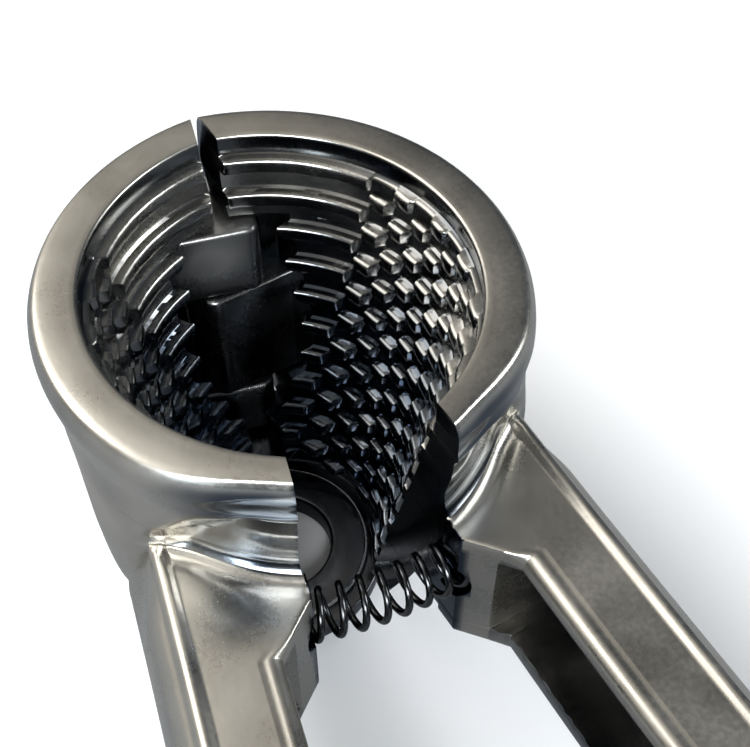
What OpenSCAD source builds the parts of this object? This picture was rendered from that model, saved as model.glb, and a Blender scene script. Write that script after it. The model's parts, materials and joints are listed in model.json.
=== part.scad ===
// Funnel nutcracker: two cast arms on one hinge pin, each half of a toothed funnel
// with a channelled handle, pushed apart by a coil spring between the handle roots.
// The funnel axis is +Z, the hinge is at the back (+Y) and the handles run to -Y.
// Each arm is drawn shut, against the middle plane, and then swung open about the pin.

/* [Funnel] */
// Height of the funnel, from the face it rests on to the rim
funnel_h = 51.5; // [48:0.5:58]
// Radius of each half's mouth
bore_r = 22.8; // [21.5:0.1:24.5]
// Thickness of the rim
rim_w = 5; // [4.4:0.1:5.4]
// How far each half's arc is centred past the middle plane
arc_shift = 6.2; // [5.4:0.1:6.8]
// How far that centre lies towards the hinge
arc_back = 0.6; // [0:0.1:1]
// Radius that the bore loses for each millimetre of depth
bore_taper = 0.235; // [0.21:0.005:0.25]
// Plain lip between the rim and the first terrace
lip_h = 3.4; // [2.5:0.1:4.5]
// Depth of the rim's outer band
band_h = 5; // [4:0.1:6]
// How full the cone stands at its middle, past a straight line from band to foot
fullness = 1.3; // [0.6:0.1:1.8]
// How far the cove at the front is cut in under the band
cove_in = 2.5; // [1.4:0.1:2.8]
// Direction of the ridge that ends the cove, from the funnel's side towards its front
ridge_angle = 47; // [42:1:54]
// Slant of that ridge down the cone
ridge_slant = 36; // [24:1:42]
// Wall of the cone at its foot
foot_wall = 3; // [2.4:0.1:4]
// Half of the slit at the front, when the two halves are shut
slit = 1.2; // [1:0.1:1.6]
// Half of the slit at the back, when they are shut
back_slit = 0.9; // [0.8:0.1:1.2]

/* [Teeth] */
// Height from one terrace to the next
terrace_pitch = 4.3; // [3.8:0.1:5.2]
// Height of a terrace's step, and of a tooth
terrace_h = 1.9; // [1.4:0.1:1.9]
// How far a terrace stands in from the bore
terrace_d = 1.3; // [0.8:0.1:1.6]
// Distance from one column of teeth to the next
tooth_pitch = 2.9; // [2.7:0.1:3.4]
// Width of a tooth
tooth_w = 2.6; // [2:0.1:2.6]
// Where the teeth take over from the plain terraces, behind the funnel's middle
tooth_start = 10.5; // [8:0.5:12]

/* [Foot ring] */
// Outer radius of the ring that closes the funnel's foot
ring_r = 11.5; // [10.5:0.1:12.5]
// How far its lower flange reaches past that
ring_flange = 1.9; // [1.2:0.1:2.2]
// How much lower the flange lies than the ring's top
ring_step = 1; // [0.6:0.1:1.4]
// Radius of its hole
ring_hole_r = 6.8; // [5.5:0.1:8]
// Thickness of the ring
ring_t = 3.5; // [2.5:0.1:4.5]
// Gap between the ring and the half that slides over it
ring_gap = 0.3; // [0.2:0.05:0.5]

/* [Hinge] */
// Distance from the funnel's middle to the hinge pin
hinge_y = 23.8; // [23:0.1:25]
// Radius of the hinge pin
pin_r = 2; // [1.5:0.1:2.4]
// Radial running clearance of the pin in the moving arm
pin_fit = 0.05; // [0.02:0.01:0.09]
// Radius of the knuckles' round backs
knuckle_r = 5; // [4.6:0.1:5.6]
// Distance that the knuckles' flat fronts stand ahead of the pin
knuckle_front = 5.4; // [5:0.1:6]
// Distance that a knuckle reaches past the pin, into the other arm's pocket
knuckle_reach = 4.4; // [3.8:0.1:4.8]
// Depth of the top knuckle below the rim
knuckle_drop = 10.6; // [9:0.1:12]
// Height of the top knuckle
top_knuckle_h = 10; // [8:0.1:11]
// Height of the middle knuckle, on the moving arm
mid_knuckle_h = 17.8; // [15:0.1:18.5]
// Gap between two knuckles, and round each in its pocket
knuckle_gap = 0.3; // [0.2:0.05:0.5]
// Distance from the middle plane to the inner face of a cheek
cheek_x = 6.7; // [6.5:0.1:7]
// Distance from the funnel's middle to the bay behind it, where the knuckles stand
bay_y = 12.3; // [11.5:0.1:13]
// Height of the sill at the foot of the bay, where the wall closes behind the funnel
sill_h = 8.8; // [8:0.1:9.6]
// Thickness of the cheeks that carry the knuckles
cheek_t = 4.8; // [4.2:0.1:5.2]

/* [Handles] */
// Depth of the handles' top face below the rim
handle_drop = 15.3; // [14:0.1:17]
// Height of the handles
handle_h = 19.3; // [17:0.1:20.5]
// Width of the handles
handle_w = 12.4; // [11.4:0.1:13.2]
// Distance from the funnel's middle to the handles' ends
handle_reach = 150; // [130:1:165]
// Gap from the middle plane to the handle's inner edge at its root, when shut
handle_gap = 4.9; // [4.4:0.1:5.6]
// How far the handle's middle bows in towards the other handle
handle_bow = 1.1; // [0.6:0.1:2]
// Wall at the back of the handle's channel
channel_wall = 3.3; // [2.6:0.1:4]
// Flange above the channel
top_flange = 2.4; // [2:0.1:3.2]
// Flange under the channel
low_flange = 3.2; // [2.4:0.1:4]
// Solid length at the handle's end
end_solid = 14; // [10:1:24]

/* [Lugs and spring] */
// Gap from the middle plane to the lug's face, when shut
lug_gap = 0.8; // [0.7:0.05:1]
// Distance from the funnel's middle to the lug's front corner
lug_y = 27.1; // [26.4:0.1:28]
// Distance from the funnel's middle to the root of the handle's inner edge
root_y = 32; // [30.5:0.1:34]
// Distance from the funnel's middle to the spring, when shut
spring_y = 24.7; // [24.4:0.1:25.2]
// Depth of the spring below the rim
spring_drop = 24.6; // [23.5:0.1:26]
// Depth of each spring seat in its lug
seat_depth = 5.6; // [5.2:0.1:6]
// Outer radius of the spring
spring_r = 2.95; // [2.6:0.05:3.1]
// Radius of the spring's wire
wire_r = 0.43; // [0.35:0.01:0.46]
// Number of turns
spring_turns = 12; // [9:1:12]
// Room round the spring, and behind each end of it
spring_room = 0.5; // [0.35:0.05:0.6]

/* [Opening] */
// Angle that each arm stands open at rest
open_angle = 8; // [6:0.5:9]

/* [Hidden] */
round_fn = 96;
zinc = [0.60, 0.59, 0.57];
dark_zinc = [0.46, 0.46, 0.46];
steel = [0.33, 0.33, 0.34];
far = 200;
overlap = 0.5;

outer_r = bore_r + rim_w;
neck_r = outer_r - cove_in;
rim_round = rim_w * 0.25;
handle_top = funnel_h - handle_drop;
handle_low = handle_top - handle_h;
root_x = handle_gap;
spring_z = funnel_h - spring_drop;
right_foot = ring_t + ring_gap;
terrace_lead = 0.4;
terraces = floor((funnel_h - right_foot - lip_h - terrace_lead) / terrace_pitch);
tooth_count = floor((bore_r - terrace_d + tooth_start) / tooth_pitch);
knuckle_high = funnel_h - knuckle_drop;
mid_knuckle_top = knuckle_high - top_knuckle_h - knuckle_gap;
low_knuckle_top = mid_knuckle_top - mid_knuckle_h - knuckle_gap;
pocket_r = knuckle_r + knuckle_gap;
cheek_out = cheek_x + cheek_t;
cheek_end = knuckle_r - 0.9;
cheek_corner = 1.7;
knuckle_corner = [cheek_out - 2.9, knuckle_r - 0.3];
pin_cap = 1.5;
knuckle_round = 1.2;
merge_y = 16;
merge_in = 7;
flank_top = funnel_h - band_h - 1.5;
flank_end = root_y - 4;
edge_round = 1.2;
channel_round = 1.6;
lug_inset = 0.15;
lug_in = 3;
channel_start = lug_y + (root_y - lug_y) * 0.6;
bend_fn = 1440;
end_r = handle_w * 0.56;
reach_back = hinge_y + knuckle_corner[0] * sin(open_angle)
           + knuckle_corner[1] * cos(open_angle);

// The handle is bent on a large arc, whose middle bows inward past the line of its ends.
half_chord = (handle_reach - end_r - root_y) / 2;
bow_r = (half_chord * half_chord + handle_bow * handle_bow) / (2 * handle_bow);
bow_angle = asin(half_chord / bow_r);
end_extra = 1.2 * end_r / bow_r * 180 / PI;
root_extra = (root_y + merge_y / 4) / bow_r * 180 / PI;
bow_centre = [root_x + bow_r * cos(bow_angle), -root_y - half_chord];

// Bore radius at a depth below the rim
function bore_at(depth) = bore_r - bore_taper * max(0, depth - lip_h);

// Middle of the handle's round end, and how far it reaches once swung open
end_point = bow_centre - (bow_r - handle_w / 2) * [cos(bow_angle), sin(bow_angle)];
open_end_y = hinge_y + end_point[0] * sin(open_angle)
           + (end_point[1] - hinge_y) * cos(open_angle) - end_r;
centre_y = -(reach_back + open_end_y) / 2;

// Swings an arm open, with side 1 on the right and -1 on the left, and centres the
// whole part over its resting face.
module swung(side) {
    translate([0, hinge_y + centre_y, 0])
        rotate([0, 0, side * open_angle])
            translate([0, -hinge_y, 0])
                children();
}

// Draws the left arm from the right one's shape.
module sided(side) {
    if (side > 0) children();
    else mirror([1, 0, 0]) children();
}

module about_arc() {
    translate([-arc_shift, arc_back, 0]) children();
}

module about_hinge() {
    translate([0, hinge_y, 0]) children();
}

// Outline of the funnel's outside, from the rim to the foot
function outer_profile(foot) =
    let (top = funnel_h - band_h, foot_r = bore_at(funnel_h) + foot_wall)
    concat([for (a = [0:15:90]) [outer_r - rim_round + rim_round * sin(a),
                                 funnel_h - rim_round + rim_round * cos(a)]],
           [for (t = [0:0.25:1]) [outer_r + (foot_r - outer_r) * t + fullness * sin(180 * t),
                                  top + (foot - top) * t]]);

module funnel_envelope(foot, top_extra = 0) {
    rotate_extrude($fn = round_fn)
        polygon(concat([[0, foot]], [[0, funnel_h + top_extra]],
                       top_extra > 0 ? [[outer_r - rim_round, funnel_h + top_extra]] : [],
                       outer_profile(foot)));
}

// Cove under the band, from the front round to a slanting ridge
module cove() {
    middle = (funnel_h - band_h + handle_top) / 2;
    intersection() {
        rotate_extrude($fn = round_fn)
            polygon([[neck_r, handle_top], [neck_r, funnel_h - band_h - 1.6],
                     [neck_r + 0.5, funnel_h - band_h - 0.7],
                     [outer_r + overlap, funnel_h - band_h - 0.2],
                     [outer_r + 2 * overlap, handle_top]]);
        rotate([0, 0, -ridge_angle])
            translate([0, 0, middle])
                rotate([ridge_slant, 0, 0])
                    translate([-far / 2, -far, -far / 2]) cube([far, far, far]);
    }
}

module funnel_bore(foot) {
    rotate_extrude($fn = round_fn)
        polygon([[0, foot - overlap],
                 [bore_at(funnel_h - foot + overlap), foot - overlap],
                 [bore_r, funnel_h - lip_h],
                 [bore_r, funnel_h + overlap],
                 [0, funnel_h + overlap]]);
}

// One terrace: a plain step round the back, and then square teeth in columns that
// take turns, one on the step's level and the next half a pitch lower
module terrace(index) {
    for (lower = [0, 1]) {
        depth = lip_h + terrace_lead + (index + lower / 2) * terrace_pitch;
        step_r = bore_at(depth) - terrace_d;
        translate([0, 0, funnel_h - depth - terrace_h])
            linear_extrude(terrace_h)
                intersection() {
                    circle(bore_at(depth) + overlap, $fn = round_fn);
                    union() {
                        if (lower == 0)
                            difference() {
                                translate([-far / 2, tooth_start]) square([far, far / 2]);
                                circle(step_r, $fn = round_fn);
                            }
                        for (i = [1 - lower:2:tooth_count - 1])
                            let (y = tooth_start - i * tooth_pitch - tooth_w,
                                 mid = y + tooth_w / 2,
                                 face = sqrt(max(0, step_r * step_r - mid * mid)))
                                translate([face, y]) square([far / 2, tooth_w]);
                    }
                }
    }
}

// Plan of one knuckle: a flat front with a round corner, a round back and a cheek to
// its own side
module knuckle_plan() {
    corner = [-knuckle_reach + knuckle_round, -knuckle_front + knuckle_round];
    about_hinge()
        polygon(concat(
            [for (a = [-90:-15:-180]) corner + knuckle_round * [cos(a), sin(a)]],
            [for (a = [180 - acos(min(1, knuckle_reach / knuckle_r)):-12:72])
                knuckle_r * [cos(a), sin(a)]],
            [knuckle_corner, [cheek_out - overlap, cheek_end - 1.9],
             [cheek_out - overlap, -knuckle_front]]));
}

// Funnel wall with its cheek, the upright wall that carries the knuckles
module shell(foot) {
    difference() {
        union() {
            about_arc() difference() {
                funnel_envelope(foot);
                cove();
            }
            translate([0, 0, foot])
                linear_extrude(knuckle_high - foot)
                    polygon([[0, 0], [cheek_out, 0],
                             [cheek_out, hinge_y + cheek_end - cheek_corner],
                             [cheek_out - cheek_corner, hinge_y + cheek_end],
                             [0, hinge_y + cheek_end]]);
        }
        about_arc() funnel_bore(foot);
    }
}

// Bay: the upright slot at the back of the funnel where the knuckles stand, with a
// round pocket about the hinge, and a sill at its foot
module bay(foot, top) {
    swept = norm([knuckle_reach, knuckle_front]) + knuckle_gap;
    for (cut = [[foot - overlap, hinge_y - swept], [sill_h, bay_y]])
        translate([0, 0, cut[0]])
            linear_extrude(top - cut[0])
                polygon([[-far / 2, cut[1]], [cheek_x, cut[1]],
                         [cheek_x, hinge_y - pocket_r / 2],
                         [pocket_r * 0.9, hinge_y - pocket_r * 0.2],
                         [-far / 2, hinge_y - pocket_r * 0.2]]);
    about_hinge()
        translate([0, 0, foot - overlap])
            cylinder(h = top - foot + overlap, r = pocket_r, $fn = round_fn);
}

// Everything past the slit between the halves
module past_slit() {
    translate([0, 0, -far / 2])
        linear_extrude(far)
            polygon([[slit, -far], [slit, -back_slit], [back_slit, back_slit],
                     [back_slit, far], [far, far], [far, -far]]);
}

// One half of the funnel, with a bay up to bay_top and knuckles between the heights
// given as [low, high] pairs
module jaw(foot, bay_top, own) {
    difference() {
        intersection() {
            union() {
                shell(foot);
                about_arc() for (i = [0:terraces - 1]) terrace(i);
            }
            past_slit();
        }
        bay(foot, bay_top);
    }
    for (k = own)
        translate([0, 0, k[0]]) linear_extrude(k[1] - k[0]) knuckle_plan();
}

module pin_bore(r) {
    about_hinge()
        translate([0, 0, -overlap])
            cylinder(h = knuckle_high - pin_cap + overlap, r = r, $fn = round_fn);
}

// Outer part of the handle's section: distances from a point on its axis of width,
// across and up, from the top face round the bulging side to the bottom face
function outer_side(w) = [
    [w - 4.4, handle_top - 0.9], [w - 2.7, handle_top - 1.9], [w - 1.5, handle_top - 3.6],
    [w - 0.5, handle_top - 6.2], [w, handle_top - handle_h / 2],
    [w - 0.5, handle_low + 6.2], [w - 1.5, handle_low + 3.6], [w - 2.7, handle_low + 1.9],
    [w - 4.4, handle_low + 0.9]];

// Whole section, from the inner edge at 0 to the outer side at w
function section(w) = concat(
    [[0, handle_low + edge_round], [0, handle_top - edge_round],
     [edge_round * 0.3, handle_top - edge_round * 0.3], [edge_round, handle_top]],
    outer_side(w),
    [[edge_round, handle_low], [edge_round * 0.3, handle_low + edge_round * 0.3]]);

// Notch that turns the section into a channel, open towards the other handle
function channel_notch(w) =
    let (back = w - channel_wall, hi = handle_top - top_flange, lo = handle_low + low_flange)
    [[-root_x, hi], [back - channel_round, hi],
     [back - channel_round * 0.3, hi - channel_round * 0.3], [back, hi - channel_round],
     [back, lo + channel_round], [back - channel_round * 0.3, lo + channel_round * 0.3],
     [back - channel_round, lo], [-root_x, lo]];

// Sweeps a shape drawn in width and height along the bent handle, from one angle of
// the bend to another, counted from its root.
module along_handle(from, to) {
    translate([bow_centre[0], bow_centre[1], 0])
        rotate([0, 0, 180 - bow_angle + from])
            rotate_extrude(angle = to - from, $fn = bend_fn)
                translate([bow_r, 0])
                    mirror([1, 0, 0])
                        children();
}

// The bent handle runs back inside the funnel, where its outer side draws in to the
// cone. Its end is rounded in plan, on a radius a little over half its width.
module bent_handle() {
    difference() {
        along_handle(-root_extra, 2 * bow_angle + end_extra) polygon(section(handle_w));
        translate([root_x + handle_w, 0, -overlap])
            linear_extrude(far)
                polygon(concat([[far, merge_y], [far, -merge_y]],
                               [for (i = [0:5]) [1 - (merge_in + 1) * pow(i / 5, 2),
                                                 1.25 * merge_y * i / 5 - merge_y]],
                               [[-merge_in, merge_y]]));
        translate([end_point[0], end_point[1], 0])
            rotate([0, 0, bow_angle])
                difference() {
                    translate([-far / 2, -far, -overlap]) cube([far, far, far]);
                    translate([0, 0, -far / 2]) cylinder(h = 2 * far, r = end_r, $fn = round_fn);
                }
    }
}

// Lug at the handle's root: a flat face that takes the spring, and a slanted corner
module lug() {
    slant = [root_x - lug_gap, lug_y - root_y];
    translate([0, 0, handle_low + lug_inset])
        linear_extrude(handle_h - 2 * lug_inset)
            polygon([[lug_gap, 0], [lug_gap, -lug_y], [lug_gap, -lug_y] + 1.3 * slant,
                     [root_x + lug_in, -root_y], [root_x + lug_in, 0]]);
}

// Flank: the fair surface from the neck down to the handle's outer side
module flank() {
    hull() {
        about_arc()
            translate([0, 0, flank_top])
                linear_extrude(overlap)
                    polygon([for (a = [-4:-9:-40]) (outer_r - overlap) * [cos(a), sin(a)],
                             (outer_r - rim_w) * [cos(40), -sin(40)],
                             (outer_r - rim_w) * [cos(4), -sin(4)]]);
        translate([root_x + handle_w - 2.6, -flank_end, handle_top - handle_h / 2 - 1])
            cube([2.4, flank_end - merge_y, 2]);
        translate([root_x + handle_w - 3.4, -flank_end, handle_top - 4.6])
            cube([1.2, flank_end - merge_y, 1.8]);
    }
}

module handle_shape() {
    difference() {
        union() {
            bent_handle();
            lug();
            flank();
        }
        along_handle((channel_start - root_y) / bow_r * 180 / PI,
                     2 * bow_angle * (1 - end_solid / (2 * half_chord)))
            polygon(channel_notch(handle_w));
        about_arc() funnel_envelope(0, overlap);
        translate([-overlap, -spring_y, spring_z])
            rotate([0, 90, 0])
                cylinder(h = lug_gap + seat_depth + overlap, r = spring_r + spring_room,
                         $fn = round_fn);
    }
}

low_knuckle = [ring_t, low_knuckle_top];
mid_knuckle = [mid_knuckle_top - mid_knuckle_h, mid_knuckle_top];
top_knuckle = [knuckle_high - top_knuckle_h, knuckle_high];

module left_jaw() {
    color(zinc)
        swung(-1) sided(-1)
            difference() {
                jaw(ring_t, knuckle_high - 2 * overlap, [low_knuckle, top_knuckle]);
                pin_bore(pin_r);
            }
}

module right_jaw() {
    color(zinc)
        swung(1) sided(1)
            difference() {
                jaw(right_foot, knuckle_high + knuckle_gap, [mid_knuckle]);
                pin_bore(pin_r + pin_fit);
            }
}

module foot_ring() {
    color(dark_zinc)
        swung(-1)
            difference() {
                union() {
                    cylinder(h = ring_t, r = ring_r, $fn = round_fn);
                    cylinder(h = ring_t - ring_step, r = ring_r + ring_flange, $fn = round_fn);
                }
                translate([0, 0, -overlap])
                    cylinder(h = ring_t + 2 * overlap, r = ring_hole_r, $fn = round_fn);
            }
}

module left_handle() {
    color(zinc) swung(-1) sided(-1) handle_shape();
}

module right_handle() {
    color(zinc) swung(1) sided(1) handle_shape();
}

module hinge_pin() {
    color(steel)
        translate([0, hinge_y + centre_y, ring_t])
            cylinder(h = knuckle_high - pin_cap - ring_t, r = pin_r, $fn = round_fn);
}

// The spring's axis is an arc about the hinge, so it stays square to both seats.
spring_arc_r = hinge_y + spring_y;
spring_half = open_angle + atan((lug_gap + seat_depth - spring_room) / spring_arc_r)
            - wire_r / spring_arc_r * 180 / PI;
coil_sides = 8;
coil_steps = 20;

function coil_point(u, side) =
    let (along = spring_half * (2 * u - 1),
         turn = 360 * spring_turns * u,
         r = spring_r - wire_r + wire_r * cos(side),
         s = wire_r * sin(side),
         radial = spring_arc_r + r * cos(turn))
    [radial * sin(along) + s * cos(along),
     -radial * cos(along) + s * sin(along),
     r * sin(turn)];

module coil() {
    m = spring_turns * coil_steps;
    n = coil_sides;
    polyhedron(
        points = [for (j = [0:m]) for (i = [0:n - 1]) coil_point(j / m, 360 * i / n)],
        faces = concat(
            [[for (i = [0:n - 1]) i]],
            [[for (i = [n - 1:-1:0]) m * n + i]],
            [for (j = [0:m - 1]) for (i = [0:n - 1])
                [j * n + i, (j + 1) * n + i, (j + 1) * n + (i + 1) % n]],
            [for (j = [0:m - 1]) for (i = [0:n - 1])
                [j * n + i, (j + 1) * n + (i + 1) % n, j * n + (i + 1) % n]]));
}

module return_spring() {
    color(steel)
        translate([0, hinge_y + centre_y, spring_z]) coil();
}

left_jaw();
left_handle();
foot_ring();
right_jaw();
right_handle();
hinge_pin();
return_spring();
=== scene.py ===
# Funnel nutcracker: two plated castings on one pin, with a coil spring between their lugs
import json
import math

import bmesh
import bpy
import numpy as np
from mathutils import Matrix, Vector


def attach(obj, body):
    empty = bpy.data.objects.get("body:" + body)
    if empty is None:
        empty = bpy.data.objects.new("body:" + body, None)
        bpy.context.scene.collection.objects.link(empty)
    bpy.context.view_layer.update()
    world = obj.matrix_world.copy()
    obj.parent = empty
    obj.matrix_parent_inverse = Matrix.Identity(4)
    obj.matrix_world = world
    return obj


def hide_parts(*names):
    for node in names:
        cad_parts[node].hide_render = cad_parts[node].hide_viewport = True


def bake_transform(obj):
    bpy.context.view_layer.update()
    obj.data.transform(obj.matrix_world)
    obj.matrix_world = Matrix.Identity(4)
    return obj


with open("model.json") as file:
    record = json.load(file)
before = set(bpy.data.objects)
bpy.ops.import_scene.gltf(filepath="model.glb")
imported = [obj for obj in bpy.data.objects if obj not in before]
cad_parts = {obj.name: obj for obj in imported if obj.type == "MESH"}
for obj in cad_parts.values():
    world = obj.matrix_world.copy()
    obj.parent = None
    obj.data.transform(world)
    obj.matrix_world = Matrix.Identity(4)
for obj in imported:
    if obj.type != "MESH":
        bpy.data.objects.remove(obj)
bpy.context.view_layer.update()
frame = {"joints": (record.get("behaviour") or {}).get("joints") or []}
print("frame loaded")

# The arms are drawn shut, in mm: +x away from the split, the foot at z 0, and the left arm is
# the right one mirrored; then each is swung open about the hinge
arm = {
    "rim": 51.5, "land": 36.2,    # heights of the funnel's rim and of the handle's top face
    "hinge": 23.8, "open": 8.0,   # the hinge's y, and the degrees that each arm is open
    "arcX": -6.2, "arcY": 0.6,    # middle of the bore's arc
    "split": 1.2, "lugGap": 0.8,  # half the gap between the arms, at the funnel and at the lugs
}
centreY = frame["joints"][0]["pos_m"][1] * 1000 - arm["hinge"]  # the shut funnel's middle in the frame

# Camera: close over the left handle, looking down into the funnel
view = {
    "place": (-25.5, -22.55, 140.2), "lens": 59.1,  # both in mm
    "forward": (0.2545, 0.577, -0.776), "up": (0.313, 0.710, 0.631),
}
cameraData = bpy.data.cameras.new("camera")
cameraData.sensor_width = 36
cameraData.lens = view["lens"]
cameraData.clip_start, cameraData.clip_end = 0.005, 20
camera = bpy.data.objects.new("camera", cameraData)
bpy.context.scene.collection.objects.link(camera)
backward = -Vector(view["forward"]).normalized()
across = Vector(view["up"]).cross(backward).normalized()
turned = Matrix((across, backward.cross(across), backward)).transposed().to_4x4()
camera.matrix_world = Matrix.Translation(Vector(view["place"]) / 1000) @ turned
bpy.context.scene.camera = camera


# Smooth step from 0 at a to 1 at b: 3t^2 - 2t^3
def ease(x, a, b):
    t = np.clip((x - a) / (b - a), 0, 1)
    return t * t * (3 - 2 * t)


# Smooth curve through the points (xs, ys): a cubic between each pair, whose slope at a point is the
# harmonic mean of the slopes on both sides, or level at a peak, so that it never overshoots
def curveThrough(x, xs, ys):
    xs, ys = np.array(xs, float), np.array(ys, float)
    gap = np.diff(xs)
    rise = np.diff(ys) / gap
    same = rise[1:] * rise[:-1] > 0
    mean = 2 * rise[1:] * rise[:-1] / np.where(same, rise[1:] + rise[:-1], 1)
    slope = np.concatenate([[rise[0]], np.where(same, mean, 0), [rise[-1]]])
    x = np.clip(x, xs[0], xs[-1])
    i = np.clip(np.searchsorted(xs, x, side="right") - 1, 0, len(gap) - 1)
    h = gap[i]
    t = (x - xs[i]) / h
    return ((2 * t**3 - 3 * t**2 + 1) * ys[i] + (t**3 - 2 * t**2 + t) * h * slope[i]
            + (3 * t**2 - 2 * t**3) * ys[i + 1] + (t**3 - t**2) * h * slope[i + 1])


# Bell curve of half width `wide` about 0: e^-(x/wide)^2
def bell(x, wide):
    return np.exp(-((x / wide) ** 2))


# Cheap waviness: a sum of five sines of unrelated lengths and directions
def ripple(x, y, seed, size):
    total = 0
    for k in range(5):
        heading = seed * 1.7 + k * 2.399
        waves = (1 + 0.83 * k) / size
        along = x * math.cos(heading) + y * math.sin(heading)
        total = total + np.sin(waves * along * 6.28 + seed * 3.1 + k * 1.3) / (1 + k)
    return total / 2.2


# Points of the unit circle at angles in radians
def onCircle(angle):
    return np.stack([np.cos(angle), np.sin(angle)], -1)


# Plan points at a height
def raised(plan, z):
    return np.concatenate([plan, np.broadcast_to(z, plan.shape[:-1])[..., None]], -1)


# Spreads a dense plan line into a fixed number of points, evenly by length
def spread(line, count):
    run = np.concatenate([[0], np.cumsum(np.hypot(*np.diff(line, axis=0).T))])
    at = np.linspace(0, run[-1], count)
    return np.stack([np.interp(at, run, line[:, 0]), np.interp(at, run, line[:, 1])], -1)


# Points at even steps between two plan points, without the first
def between(start, end, count):
    t = np.linspace(0, 1, count + 1)[1:, None]
    return np.array(start) * (1 - t) + np.array(end) * t


# Shut-arm mm to the frame's metres: mirrored for the left arm, swung open about the hinge
def swing(points, side):
    p = np.asarray(points, float)
    a = math.radians(arm["open"]) * side
    x, y = p[..., 0] * side, p[..., 1] - arm["hinge"]
    return np.stack([x * math.cos(a) - y * math.sin(a),
                     x * math.sin(a) + y * math.cos(a) + arm["hinge"] + centreY,
                     p[..., 2]], -1) / 1000


# Quads between the rows of a grid of vertex numbers
def quads(grid):
    return np.stack([grid[:-1, :-1], grid[1:, :-1], grid[1:, 1:], grid[:-1, 1:]], -1).reshape(-1, 4)


# Faces of a tube made of rings, with a cap at each end
def tubeFaces(rings, sides):
    grid = np.arange(rings * sides).reshape(rings, sides)
    grid = np.concatenate([grid, grid[:, :1]], 1)
    return quads(grid).tolist() + [grid[0, :-1].tolist(), grid[-1, :-1][::-1].tolist()]


# Triangles between two lines of vertices of different counts, each taking the shorter diagonal
def bridge(points, lineA, lineB):
    lastA, lastB = len(lineA) - 1, len(lineB) - 1
    i, j, faces = 0, 0, []
    while i < lastA or j < lastB:
        onA = j == lastB
        if i < lastA and j < lastB:
            acrossA = points[lineA[i + 1]] - points[lineB[j]]
            acrossB = points[lineA[i]] - points[lineB[j + 1]]
            onA = np.sum(acrossA**2) < np.sum(acrossB**2)
        faces.append([lineA[i], lineB[j], lineA[i + 1] if onA else lineB[j + 1]])
        i, j = (i + 1, j) if onA else (i, j + 1)
    return faces


# Makes one closed mesh, welds its seams and turns its faces outwards; its bare attribute says at each
# point how much of the dark plating is worn off, and on several pieces it also holds painted light and shade
def makePiece(name, points, faces, sharp=40.0, bareAndLit=1.0):
    mesh = bpy.data.meshes.new(name)
    mesh.from_pydata(np.asarray(points, float).tolist(), [], [list(map(int, face)) for face in faces])
    # the bare attribute holds wear, and on several pieces painted light and shade as well
    wornAndLit = mesh.attributes.new("bareAndLit", "FLOAT", "POINT")
    wornAndLit.data.foreach_set("value", np.ravel(bareAndLit) * np.ones(len(points)))
    piece = bpy.data.objects.new(name, mesh)
    bpy.context.scene.collection.objects.link(piece)
    shape = bmesh.new()
    shape.from_mesh(mesh)
    bmesh.ops.remove_doubles(shape, verts=shape.verts, dist=2e-6)
    bmesh.ops.dissolve_degenerate(shape, edges=shape.edges, dist=1e-6)
    bmesh.ops.recalc_face_normals(shape, faces=shape.faces)
    if shape.calc_volume(signed=True) < 0:
        bmesh.ops.reverse_faces(shape, faces=shape.faces)
    openEdges = sum(1 for edge in shape.edges if len(edge.link_faces) != 2)
    shape.to_mesh(mesh)
    shape.free()
    mesh.polygons.foreach_set("use_smooth", np.ones(len(mesh.polygons), bool))
    mesh.set_sharp_from_angle(angle=math.radians(sharp))
    print(name, len(mesh.polygons), "faces, open edges", openEdges)
    return piece


# Funnel half
funnel = {
    "bore": 22.8, "taper": 0.235, "lip": 3.4,    # radius at the mouth, its loss per mm, straight lip
    "coneTop": 27.6, "foot": 15.3, "full": 1.3,  # the cone's outside at its two ends, and its fullness
    "fullest": 29.3, "rimNarrow": 1.6,           # the flank at most, and what the rim loses at the split
    "neck": 25.2, "band": 4.7,                   # radius inside the cove, and depth of the band over it
    "backSplit": 0.9, "backDeep": 0.5,           # half the back slit at the rim and further down
    "terraces": 11, "pitch": 4.3,                # one terrace to a pitch
    "stepFrom": 2.6, "stepDeep": 1.3,            # depth of the first terrace, and how far one stands out
    "ledge": 0.75,                               # how far the first terrace stands out over the teeth
    "toothWide": 2.9, "teethFrom": 10.5,         # the teeth begin in front of this y
    "cheekIn": 6.7, "cheekOut": 11.5,            # the cheek's two sides
    "cheekSnug": 5.0, "snugTop": 12.6,           # its inner side beside the low knuckle, and up to where
    "cheekBack": 28.4, "pocket": 5.3,            # its back, and the radius of the pocket about the hinge
    "bayFront": 12.3, "sillFront": 16.5,         # front of the knuckles' bay, and of the sill below it
    "sillTop": 8.8, "outerColumns": 150,
}
# How bare the funnel is painted: wear, with painted shade deeper in the bore and in the band under
# the lip, a painted dark reflection in front under the rim, and painted light near the mouth and glints on
# the crests
wearAndLight = {
    "bore": 0.06, "teeth": 0.38, "leftTerracesLit": 0.68, "rightTerracesLit": 0.42,
    "terraceGlint": 0.14, "toothGlint": 0.28, "glintFade": 0.18,
    "outside": 0.82, "frontShade": 0.76, "coveLight": 0.14, "splitFace": 0.05, "splitEdge": 0.6,
}


# Bore radius: straight lip, then a cone
def boreRadius(depth):
    return funnel["bore"] - funnel["taper"] * np.maximum(0, depth - funnel["lip"])


# Outside of the cone: a slightly full line from under the rim to the foot
def coneRadius(depth):
    t = np.clip((depth - 5) / 43, 0, 1)
    return funnel["coneTop"] + (funnel["foot"] - funnel["coneTop"]) * t + funnel["full"] * np.sin(math.pi * t)


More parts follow.
